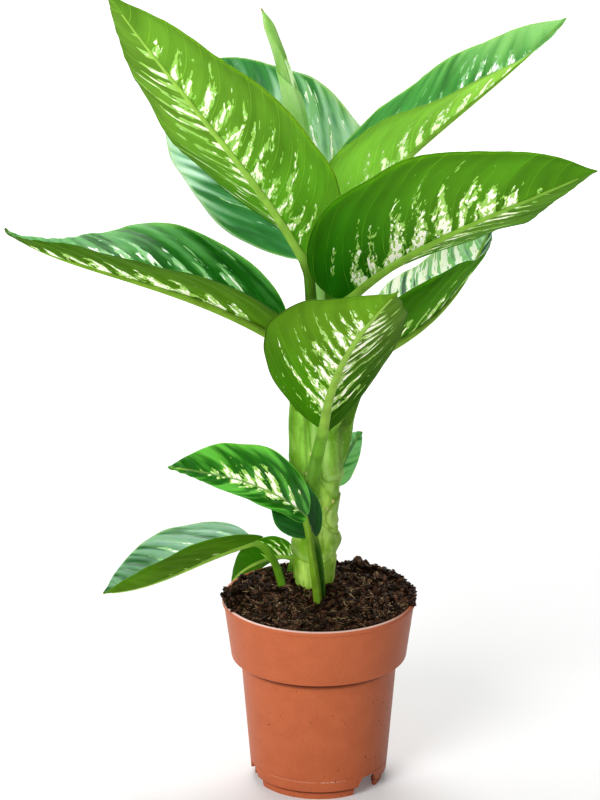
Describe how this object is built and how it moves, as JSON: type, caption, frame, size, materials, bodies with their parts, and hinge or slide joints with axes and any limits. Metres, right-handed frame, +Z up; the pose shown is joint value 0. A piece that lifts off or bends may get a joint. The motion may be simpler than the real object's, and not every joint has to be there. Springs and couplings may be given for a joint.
{
  "type": "potted dieffenbachia",
  "caption": "Leafy houseplant with broad variegated leaves on a thick cane, standing in soil in a round nursery pot with a collar and a notched foot ring.",
  "frame": {"origin": "middle of the pot's underside, on the surface that it stands on", "axes": "+Z up along the pot's axis; -Y is the plant's front, +X its right seen from the front"},
  "size_m": [0.484, 0.3436, 0.72],
  "materials": {
    "terracotta_plastic": "satin",
    "potting_soil": "matte",
    "stem_green": "satin",
    "leaf_green": "satin",
    "offshoot_green": "gloss",
    "new_leaf_green": "satin"
  },
  "bodies": {
    "root": {"pot": "terracotta_plastic", "soil": "potting_soil", "stem": "stem_green", "leaf_upper_left": "leaf_green", "leaf_back_left": "leaf_green", "leaf_upper_right": "leaf_green", "leaf_right": "leaf_green", "leaf_left": "leaf_green", "leaf_front": "leaf_green", "leaf_back_right": "leaf_green", "leaf_small_right": "leaf_green", "leaf_new": "new_leaf_green", "offshoot_leaf_front": "offshoot_green", "offshoot_leaf_round": "offshoot_green", "offshoot_leaf_lower_left": "offshoot_green", "offshoot_leaf_behind": "offshoot_green"}
  },
  "joints": []
}
